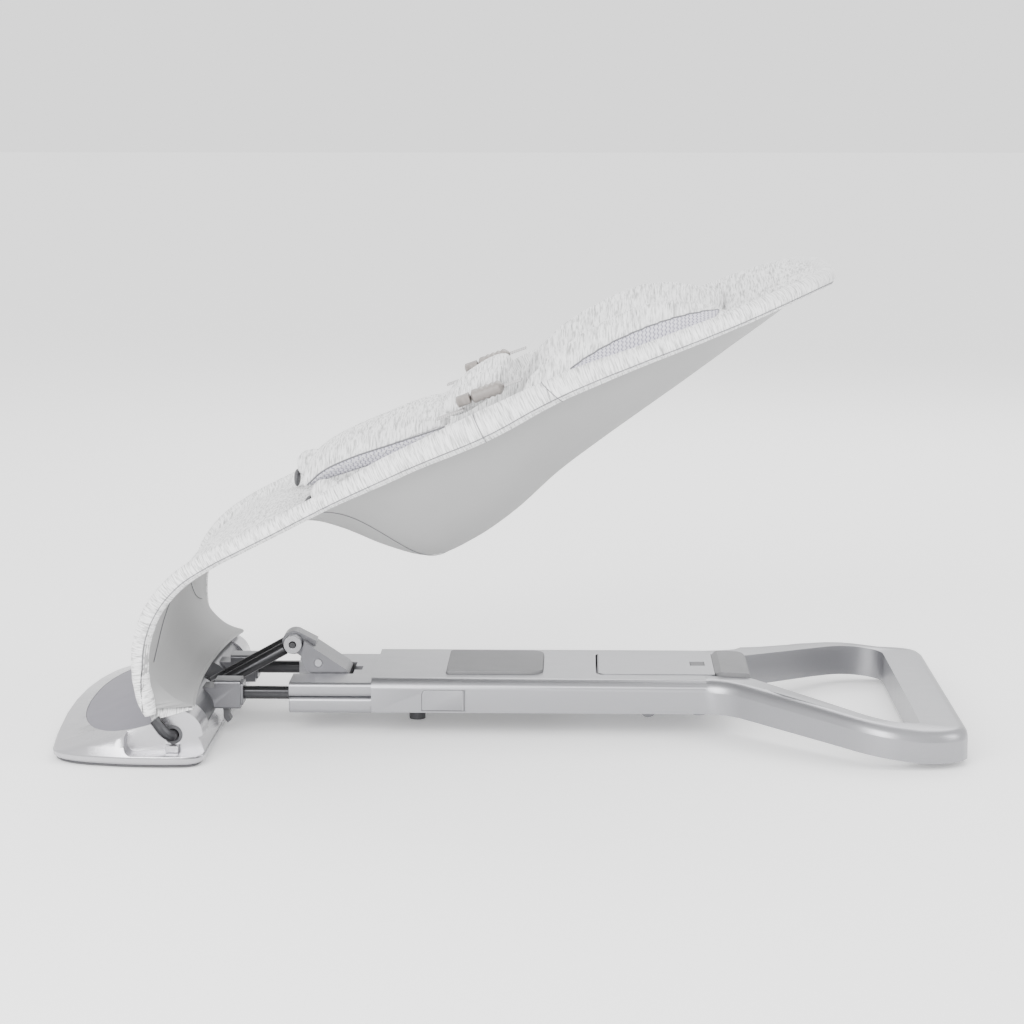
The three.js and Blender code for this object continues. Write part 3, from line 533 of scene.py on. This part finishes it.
EDGE_ROUNDING = {
    "foot_shell": 1.2, "rod_socket_left": 0.8, "rod_socket_right": 0.8, "rear_casting": 0.6,
    "carriage_upper": 0.8, "carriage_lower": 0.8, "prop_bracket": 1.2, "crank_eye_left": 0.8,
    "crank_eye_right": 0.8, "release_lever": 0.5, "lever_grip": 1.0, "recline_button": 1.2,
    "side_door_left": 0.3, "side_door_right": 0.3, "tube_keeper_left": 0.5, "tube_keeper_right": 0.5,
    "latch_hook_left": 0.4, "latch_hook_right": 0.4, "base_rod_left": 0.3, "base_rod_right": 0.3,
    "crank_arm_left": 0.4, "crank_arm_right": 0.4, "crank_hub": 0.5, "tether_eye": 0.6,
    "tread_pad": 0.4, "prop_rivet": 0.4, "centre_stop": 0.6, "lock_screw_boss": 0.6,
    "rear_floor_strip": 0.6, "tube_end_left": 0.2, "tube_end_right": 0.2, "lever_lock_flag": 0.2,
    "foot_sole": 0.6, "hinge_bush_left": 0.3, "hinge_bush_right": 0.3,
}


def make_rigid_parts():
    special = {
        "recline_button": BUTTON, "lever_grip": BUTTON, "prop_bracket": BRACKET,
        "rod_socket_left": BRACKET, "rod_socket_right": BRACKET,
    }
    for node, edge in EDGE_ROUNDING.items():
        machined(node, edge * MM, special.get(node))
    for node, piece in frame["nodes"].items():
        slot = NODE_SLOTS[node]
        if slot in SLOT_MATERIALS:
            piece.data.materials.clear()
            piece.data.materials.append(SLOT_MATERIALS[slot])


# ---------------------------------------------------------------- edge roll
ROLL_STEPS = 360
SEAM_ANGLE = -138                              # where the under cloth meets the roll, degrees
HOOP_PARTS = 900
HOOP_SAMPLES = [hoop_at(i / HOOP_PARTS) for i in range(HOOP_PARTS + 1)]
JOINT_SEAMS = (-0.018, 0.048)                  # how far along the seat the roll's cloth is joined, X


def nearest_on_hoop(p):
    return min(HOOP_SAMPLES, key=lambda sample: (sample - p).length_squared)


def hoop_station(x, sign):
    """Where along the hoop, 0 to 1, one side passes x."""
    best = min((i for i in range(HOOP_PARTS + 1) if HOOP_SAMPLES[i].y * sign > 0),
               key=lambda i: abs(HOOP_SAMPLES[i].x - x))
    return best / HOOP_PARTS


def make_edge_roll():
    points = [hoop_at(i / ROLL_STEPS) for i in range(ROLL_STEPS + 1)]
    along = lengths(points)
    total = along[-1]
    gather = 0.17
    sides = 40

    def radius(i):
        from_end = min(along[i], total - along[i])
        taper = math.sqrt(min(1, from_end / 0.02))
        fade = max(0, 1 - from_end / gather)
        ripple = 0.6 * math.sin(from_end * 1130) + 0.4 * math.sin(from_end * 1840 + 1.3)
        return roll_radius(points[i].x) * (0.6 + 0.4 * taper) + fade * ripple * 0.7 * MM

    rows = tube_rows(points, radius, sides)
    ends = [[points[0]] * sides] + rows + [[points[-1]] * sides]
    piece = new_object("edge_roll", grid_mesh("edge_roll", ends, close_columns=True), HEATHER_ROLL)
    weld(piece)
    finish_piece(piece, "seat", "heather_knit", "edge_sleeve")
    for name, sign in SIDES.items():
        for number, x in enumerate(JOINT_SEAMS):
            make_ring_seam(f"roll_seam_{name}_{number}", hoop_station(x, sign), 0.010 * number)


def make_ring_seam(name, station, slant):
    """Thread round the roll, leaning along it by slant from its top to its bottom."""
    centre = hoop_at(station)
    tangent = (hoop_at(station + 0.002) - hoop_at(station - 0.002)).normalized()
    across = Vector((0, 1, 0))
    up = tangent.cross(across).normalized()
    if up.z < 0:
        up = -up
    if tangent.x < 0:
        tangent = -tangent
    ring = []
    steps = 40
    for i in range(steps + 1):
        angle = 2 * math.pi * i / steps
        lean = -0.5 * slant * math.sin(angle)
        reach = roll_radius(centre.x + lean) + 0.1 * MM
        ring.append(centre + reach * (math.cos(angle) * across + math.sin(angle) * up) + lean * tangent)
    seam = tube(name, ring, 0.45 * MM, 6, THREAD)
    finish_piece(seam, "seat", "heather_knit")


# ---------------------------------------------------------------- sling
def roll_climb(u, v, angles, lift=0.0):
    """Points on the roll nearest a place of the sling's rim, at angles in degrees from straight
    inward."""
    middle = sling_at(u, v)
    centre = nearest_on_hoop(middle)
    inward = (middle - centre).normalized()
    up = normal_of(sling_at, u, v)
    up = (up - inward * up.dot(inward)).normalized()
    reach = roll_radius(centre.x) - 0.4 * MM + lift
    result = []
    for angle in angles:
        turn = math.radians(angle)
        result.append(centre + reach * (math.cos(turn) * inward + math.sin(turn) * up))
    return result


def sling_row(u, offset, angles, columns=56):
    """One crossing of a sling sheet, from roll to roll, offset from the sling's middle surface."""
    row = []
    for j in range(columns + 1):
        v = j / columns
        row.append(sling_at(u, v) + normal_of(sling_at, u, v) * offset)
    return roll_climb(u, 0, angles)[::-1] + row + roll_climb(u, 1, angles)


SLING_STEPS = 150
UNDER_ANGLES = (-40, -70, -100, -122, SEAM_ANGLE)


def head_rows(angles, columns=56):
    """The sheet carried on from the sling's end over the head bar's roll, one row per angle."""
    rows = []
    for reached, angle in enumerate(angles):
        corner = [angles[min(k, reached)] for k in range(len(angles))]
        row = [roll_climb(1, j / columns, (angle,))[0] for j in range(columns + 1)]
        rows.append(roll_climb(1, 0, corner)[::-1] + row + roll_climb(1, 1, corner))
    return rows


def make_sheet(name, offset, angles, material, slot):
    rows = [sling_row(i / SLING_STEPS, offset, angles) for i in range(SLING_STEPS + 1)]
    rows.extend(head_rows(angles))
    piece = new_object(name, grid_mesh(name, rows), material)
    weld(piece)
    solid = piece.modifiers.new("cloth", "SOLIDIFY")
    solid.thickness = 0.8 * MM
    solid.offset = 0
    apply_modifiers(piece)
    finish_piece(piece, "seat", slot, "sling")


def make_sling():
    make_sheet("seat_fabric", 1.6 * MM, (38, 62, 84), HEATHER_SEAT, "heather_knit")
    make_sheet("under_fabric", -1.6 * MM, UNDER_ANGLES, WOVEN, "woven_fabric")
    for name, v_end in (("left", 0), ("right", 1)):
        make_edge_seam(name, v_end)
        make_panel_seams(name, v_end)
    make_hem_piping()


def make_edge_seam(name, v_end):
    """Dark seam where the under cloth meets the roll, with pale topstitching beside it."""
    dark = []
    pale = []
    for i in range(301):
        dark.extend(roll_climb(i / 300, v_end, (SEAM_ANGLE - 3,), 0.5 * MM))
        pale.extend(roll_climb(i / 300, v_end, (SEAM_ANGLE + 7,), 0.9 * MM))
    finish_piece(tube("edge_seam_" + name, dark, 0.5 * MM, 6, THREAD), "seat", "heather_knit")
    stitches = []
    distance = lengths(pale)
    for i in range(0, 300, 3):
        if distance[-1] > distance[i]:
            stitches.append((pale[i], pale[i + 2]))
    finish_piece(stitch_run("edge_stitch_" + name, stitches, PALE_THREAD), "seat", "heather_knit")


def stitch_run(name, stitches, material, radius=0.35 * MM):
    """Separate short threads in one piece, each from one point to another."""
    mesh = bmesh.new()
    for start, end in stitches:
        rings = tube_rows([start, (start + end) / 2, end], lambda i: radius * (1, 1.3, 1)[i], 5)
        loops = [[mesh.verts.new(p) for p in ring] for ring in rings]
        for a, b in zip(loops, loops[1:]):
            for k in range(5):
                mesh.faces.new((a[k], a[(k + 1) % 5], b[(k + 1) % 5], b[k]))
        mesh.faces.new(loops[0][::-1])
        mesh.faces.new(loops[-1])
    data = bpy.data.meshes.new(name)
    mesh.to_mesh(data)
    mesh.free()
    return new_object(name, data, material)


def under_point(u, v, proud=0.5 * MM):
    """Point on the outside of the under cloth."""
    return sling_at(u, v) - normal_of(sling_at, u, v) * (2.0 * MM + proud)


def make_panel_seams(name, v_end):
    """Seams of the under cloth: one from the roll round the bucket, one across the leg end."""
    toward = 1 if v_end == 0 else -1
    bucket = []
    leg = []
    for i in range(61):
        t = i / 60
        bucket.append(under_point(0.43 + 0.12 * t ** 0.9, v_end + toward * (0.01 + 0.47 * t ** 1.6)))
        leg.append(under_point(0.27 - 0.11 * t, v_end + toward * (0.40 - 0.34 * t ** 1.3)))
    for label, line in (("bucket_seam_", bucket), ("leg_seam_", leg)):
        finish_piece(tube(label + name, line, 0.35 * MM, 6, THREAD), "seat", "woven_fabric")


def make_hem_piping():
    line = [sling_at(0, j / 80) for j in range(81)]
    finish_piece(tube("hem_piping", line, 1.7 * MM, 10, WOVEN), "seat", "woven_fabric")


# ---------------------------------------------------------------- stuffed pieces
def voxel_copy(name, node, voxel, shrink, material):
    """The CAD's soft solid as an even, slightly smaller skin, ready to be stuffed."""
    mesh = merged(node)
    data = bpy.data.meshes.new(name)
    mesh.to_mesh(data)
    mesh.free()
    piece = new_object(name, data, material)
    remesh = piece.modifiers.new("remesh", "REMESH")
    remesh.mode = "VOXEL"
    remesh.voxel_size = voxel
    smooth = piece.modifiers.new("smooth", "SMOOTH")
    smooth.iterations = 6
    smooth.factor = 0.5
    inset = piece.modifiers.new("inset", "DISPLACE")
    inset.strength = -shrink
    inset.mid_level = 0
    apply_modifiers(piece)
    return piece


def stuff(piece, pressure, cap):
    """Swells a skin with cloth simulation. No point moves further than cap, and the side that
    lies toward the sling hardly moves, so that the pad stays in its own room."""
    sewn = [vert.co.copy() for vert in piece.data.vertices]
    normals = [vert.normal.copy() for vert in piece.data.vertices]
    cloth = piece.modifiers.new("cloth", "CLOTH")
    cloth.settings.quality = 4
    cloth.settings.use_pressure = True
    cloth.settings.uniform_pressure_force = pressure
    cloth.settings.effector_weights.gravity = 0
    for step in range(1, 21):
        bpy.context.scene.frame_set(step)
    apply_modifiers(piece)
    for vert, start, normal in zip(piece.data.vertices, sewn, normals):
        limit = cap if normal.dot(SEAT_UP) > -0.3 else 0.5 * MM
        move = vert.co - start
        if move.length > limit:
            vert.co = start + move * (limit / move.length)
    bpy.context.scene.frame_set(1)
    fine = piece.modifiers.new("fine", "SUBSURF")
    fine.levels = 1
    apply_modifiers(piece)
    for polygon in piece.data.polygons:
        polygon.use_smooth = True


def skin_of(piece):
    mesh = piece.data
    return BVHTree.FromPolygons([vert.co for vert in mesh.vertices],
                                [tuple(polygon.vertices) for polygon in mesh.polygons])


# ---------------------------------------------------------------- newborn insert
MESH_FROM, MESH_TO = 0.065, 0.205              # ends of the wing's mesh band, X
MESH_RISE = 21 * MM                            # its top edge above the roll's centre line, at most
MESH_START_RISE = 9 * MM


def make_insert():
    pad = voxel_copy("newborn_pad", "newborn_insert", 5 * MM, 2.5 * MM, HEATHER_SEAT)
    stuff(pad, 4, 7 * MM)
    finish_piece(pad, "seat", "heather_knit", "newborn_insert")
    skin = skin_of(pad)
    for name, sign in SIDES.items():
        make_mesh_band(name, sign, skin)


def from_the_side(skin, x, z, sign, lift):
    """Where a line from outside, level and across the seat, meets the skin."""
    start = Vector((x, sign * 0.4, z))
    place, normal, _, _ = skin.ray_cast(start, Vector((0, -sign, 0)))
    if place is None:
        place, normal, _, _ = skin.find_nearest(Vector((x, sign * 0.16, z)))
    return place + Vector((0, sign, 0)) * lift


def make_mesh_band(name, sign, skin):
    rows = []
    steps = 60
    for i in range(steps + 1):
        t = i / steps
        x = MESH_FROM + (MESH_TO - MESH_FROM) * t
        roll = hoop_at(hoop_station(x, sign)).z
        swell = math.sin(math.pi * t) ** 0.75
        top = roll + MESH_START_RISE + (MESH_RISE - MESH_START_RISE) * swell
        bottom = roll + MESH_START_RISE - 16 * MM * swell - 1 * MM
        row = []
        for k in range(9):
            z = bottom + (top - bottom) * k / 8
            row.append(from_the_side(skin, x, z, sign, 1.2 * MM))
        rows.append(row)
    band = new_object("mesh_band_" + name, grid_mesh("mesh_band_" + name, rows), MESH_CLOTH)
    solid = band.modifiers.new("cloth", "SOLIDIFY")
    solid.thickness = 1.5 * MM
    solid.offset = 0
    apply_modifiers(band)
    finish_piece(band, "seat", "air_mesh")
    edge = [row[-1] + Vector((0, sign * 0.6 * MM, 0)) for row in rows]
    finish_piece(tube("wing_piping_" + name, edge, 0.8 * MM, 8, THREAD), "seat", "heather_knit")


# ---------------------------------------------------------------- crotch pad
def crotch_first(verts):
    start_tangent = Vector((0.66, 0, 0.75))
    return sorted(verts, key=lambda vert: vert.co.dot(start_tangent))[:18]


CROTCH = quilt_rows("crotch_pad", crotch_first)


def crotch_at(u, v):
    return surface(CROTCH, u, v)


def make_crotch_pad():
    pad = voxel_copy("crotch_panel", "crotch_pad", 3 * MM, 0.6 * MM, HEATHER_SEAT)
    stuff(pad, 4, 5 * MM)
    finish_piece(pad, "seat", "heather_knit", "crotch_pad")
    for name, v_end in (("left", 0), ("right", 1)):
        make_crotch_gusset(name, v_end)


def make_crotch_gusset(name, v_end):
    """Mesh side wall under the pad's edge, tapering to both ends, with zig-zag stitching on it."""
    inward = 1 if v_end == 0 else -1
    rows = []
    zigzag = []
    steps = 72
    for i in range(steps + 1):
        t = i / steps
        u = 0.04 + 0.90 * t
        edge = crotch_at(u, v_end)
        down = -normal_of(crotch_at, u, 0.5)
        depth = 13 * MM * math.sin(math.pi * min(t * 1.02, 1)) ** 0.6 + 0.5 * MM
        row = []
        for k in range(7):
            drop = k / 6
            tuck = Vector((0, inward * (6 * drop ** 2 - 1) * MM, 0))
            row.append(edge + down * (depth * drop + 0.5 * MM) + tuck)
        rows.append(row)
        if i % 2 == 0:
            zigzag.append(row[1 if i % 4 == 0 else 3] - Vector((0, inward * 0.9 * MM, 0)))
    gusset = new_object("crotch_mesh_" + name, grid_mesh("crotch_mesh_" + name, rows), MESH_CLOTH)
    solid = gusset.modifiers.new("cloth", "SOLIDIFY")
    solid.thickness = 1.4 * MM
    solid.offset = 0
    apply_modifiers(gusset)
    finish_piece(gusset, "seat", "air_mesh")
    stitches = list(zip(zigzag, zigzag[1:]))
    finish_piece(stitch_run("zigzag_" + name, stitches, PALE_THREAD, 0.4 * MM), "seat", "heather_knit")
    edge = [row[0] - Vector((0, inward * 0.8 * MM, 0)) for row in rows]
    finish_piece(tube("crotch_piping_" + name, edge, 0.8 * MM, 8, THREAD), "seat", "heather_knit")


# ---------------------------------------------------------------- tabs and slots
TABS = {"left": (0.451, 0.24), "right": (0.426, 0.76)}   # station along the seat, and across it
BOLSTER_LEAN = math.radians(34)


def top_frame(u, v):
    """Place on the seat's upper face with its footward, sideways and upward directions."""
    up = normal_of(sling_at, u, v)
    side = (sling_at(u, min(v + 0.02, 1)) - sling_at(u, max(v - 0.02, 0))).normalized()
    return sling_at(u, v) + up * 2 * MM, side.cross(up).normalized() * -1, side, up


def puffed(name, origin, axes, half, material, slot, power=2.6):
    """Stuffed oblong: a rounded box that thins toward its rim."""
    rows = []
    count = 20
    for i in range(count + 1):
        tilt = math.pi * (i / count - 0.5)
        ring = []
        for k in range(2 * count):
            turn = math.pi * k / count
            shape = (math.cos(tilt) * math.cos(turn), math.cos(tilt) * math.sin(turn), math.sin(tilt))
            p = origin.copy()
            for value, axis, size in zip(shape, axes, half):
                p += axis * (math.copysign(abs(value) ** (2 / power), value) * size)
            ring.append(p)
        rows.append(ring)
    piece = new_object(name, grid_mesh(name, rows, close_columns=True), material)
    weld(piece)
    return finish_piece(piece, "seat", slot)


def make_tabs():
    """Stuffed tab on each side of the crotch pad's root, with a dark shape as painted shade in the slot
    it comes out of.
    """
    for name, (u, v) in TABS.items():
        origin, footward, side, up = top_frame(u, v)
        axes = (footward, side, up)
        tab = puffed("crotch_tab_" + name, origin + up * 23 * MM, axes,
                     (22 * MM, 19 * MM, 15 * MM), HEATHER_SEAT, "heather_knit")
        # Painted shade: a dark puffed shape stands for the shade in the slot at the tab's footward end.
        puffed("slot_" + name, origin + footward * 22 * MM + up * 8 * MM, axes,
               (3.5 * MM, 14 * MM, 9 * MM), BLACK, "dark_plastic", 2)


def make_corner_bolsters():
    """Stuffed corner of the crotch pad under each buckle, and a flat dark shape as painted shade in the
    slot where its side strap ends.
    """
    along = Vector((math.cos(BOLSTER_LEAN), 0, math.sin(BOLSTER_LEAN)))
    above = Vector((-math.sin(BOLSTER_LEAN), 0, math.cos(BOLSTER_LEAN)))
    for name, sign in SIDES.items():
        corner = puffed("corner_bolster_" + name, Vector((-27 * MM, sign * 62 * MM, 343 * MM)),
                        (along, Vector((0, 1, 0)), above),
                        (37 * MM, 21 * MM, 13 * MM), HEATHER_SEAT, "heather_knit")
        place, footward, side, up = top_frame(0.615, 0.5 + sign * 0.28)
        # Painted shade: a thin dark shape on the seat stands for the shade in the harness slot.
        puffed("harness_slot_" + name, place + up * 0.4 * MM, (footward, side, up),
               (14 * MM, 2.4 * MM, 1.0 * MM), BLACK, "dark_plastic", 2)


# ---------------------------------------------------------------- harness
def measured(node, axis):
    """Lowest and highest reach of a node's solid along a direction."""
    reach = [vert.co.dot(axis) for vert in frame["nodes"][node].data.vertices]
    return min(reach), max(reach)


HARNESS_SLOPE = math.radians(20)
HARNESS_AXES = (
    Vector((math.cos(HARNESS_SLOPE), 0, math.sin(HARNESS_SLOPE))),
    Vector((0, 1, 0)),
    Vector((-math.sin(HARNESS_SLOPE), 0, math.cos(HARNESS_SLOPE))),
)


def lofted(name, node, outline, material, slot):
    """A piece in a harness node's room: outline(t) gives half width and half height at t, 0 to 1."""
    ranges = [measured(node, axis) for axis in HARNESS_AXES]
    centre = [(low + high) / 2 for low, high in ranges]
    rows = []
    steps, sides = 40, 28
    for i in range(steps + 1):
        t = i / steps
        along = ranges[0][0] + (ranges[0][1] - ranges[0][0]) * t
        wide, high = outline(t)
        ring = []
        for k in range(sides):
            turn = 2 * math.pi * k / sides
            x, y = math.cos(turn), math.sin(turn)
            p = HARNESS_AXES[0] * along
            p = p + HARNESS_AXES[1] * (centre[1] + math.copysign(abs(x) ** 0.6, x) * wide)
            p = p + HARNESS_AXES[2] * (centre[2] + math.copysign(abs(y) ** 0.6, y) * high)
            ring.append(p)
        rows.append(ring)
    rows = [[sum(rows[0], Vector()) / sides] * sides] + rows + [[sum(rows[-1], Vector()) / sides] * sides]
    piece = new_object(name, grid_mesh(name, rows, close_columns=True), material)
    weld(piece)
    return finish_piece(piece, "seat", slot, node)


def socket_outline(t):
    """Ribbed body that narrows a little toward the head, with rounded ends."""
    round_end = min(1, t / 0.08, (1 - t) / 0.12) ** 0.5 if 0 < t < 1 else 0.3
    rib = 0.6 * MM * math.cos(2 * math.pi * 6 * t) if 0.2 < t < 0.85 else 0
    return (14.6 - 1.6 * t) * MM * round_end, (6.2 * MM + rib) * round_end


def tongue_outline(t):
    """Waisted body with rounded ends."""
    waist = 1 - 0.30 * math.sin(math.pi * t) ** 2
    round_end = min(1, t / 0.1, (1 - t) / 0.05) ** 0.5 if 0 < t < 1 else 0.4
    return 12.8 * MM * waist * round_end, 5.2 * MM * round_end


def tape_outline(t):
    return 10.8 * MM, 1.0 * MM


def make_harness():
    for name in SIDES:
        lofted("socket_body_" + name, "buckle_socket_" + name, socket_outline, BUCKLE, "buckle_plastic")
        lofted("tongue_body_" + name, "buckle_tongue_" + name, tongue_outline, BUCKLE, "buckle_plastic")
        lofted("crotch_tape_" + name, "crotch_strap_" + name, tape_outline, WEBBING, "webbing")
        lofted("side_tape_" + name, "side_strap_" + name, tape_outline, WEBBING, "webbing")


# ---------------------------------------------------------------- studio
def make_studio():
    floor_mesh = bpy.data.meshes.new("floor")
    size = 30.0
    floor_mesh.from_pydata([(-size, -size, 0), (size, -size, 0), (size, size, 0), (-size, size, 0)],
                           [], [(0, 1, 2, 3)])
    material, tree, shader = node_material("studio_floor")
    shader.inputs["Base Color"].default_value = (0.95, 0.95, 0.95, 1)
    shader.inputs["Roughness"].default_value = 0.9
    shader.inputs["Emission Color"].default_value = (1, 1, 1, 1)
    shader.inputs["Emission Strength"].default_value = 0.25
    floor = new_object("floor", floor_mesh, material, smooth=False)
    floor.location.z = CAD_BOX[0].z - 0.0005

    world = bpy.data.worlds.new("studio")
    bpy.context.scene.world = world
    world.use_nodes = True
    background = world.node_tree.nodes["Background"]
    background.inputs["Color"].default_value = (1.0, 1.0, 1.0, 1)
    background.inputs["Strength"].default_value = 1.65

    for name, place, target, size, power in (
        ("key_light", (-1.0, -2.6, 1.3), (0, 0, 0.2), 1.8, 120),
        ("back_light", (0.6, 2.2, 2.2), (0, 0, 0.2), 2.0, 50),
        ("side_light", (2.4, -0.8, 1.4), (0, 0, 0.2), 1.2, 26),
    ):
        data = bpy.data.lights.new(name, "AREA")
        data.shape = "SQUARE"
        data.size = size
        data.energy = power
        light = bpy.data.objects.new(name, data)
        bpy.context.scene.collection.objects.link(light)
        light.location = place
        light.rotation_euler = (Vector(target) - Vector(place)).to_track_quat("-Z", "Y").to_euler()


def make_camera():
    """Level side view from far off, a little above and turned slightly toward the foot."""
    data = bpy.data.cameras.new("camera")
    data.sensor_width = 36
    data.lens = 94.9
    camera = bpy.data.objects.new("camera", data)
    bpy.context.scene.collection.objects.link(camera)
    camera.location = (0.076, -2.690, 0.624)
    camera.rotation_euler = (math.radians(90 - 8.68), 0, math.radians(1.49))
    bpy.context.scene.camera = camera


make_camera()
make_studio()
make_rigid_parts()
make_edge_roll()
make_sling()
make_insert()
make_crotch_pad()
make_tabs()
make_corner_bolsters()
make_harness()
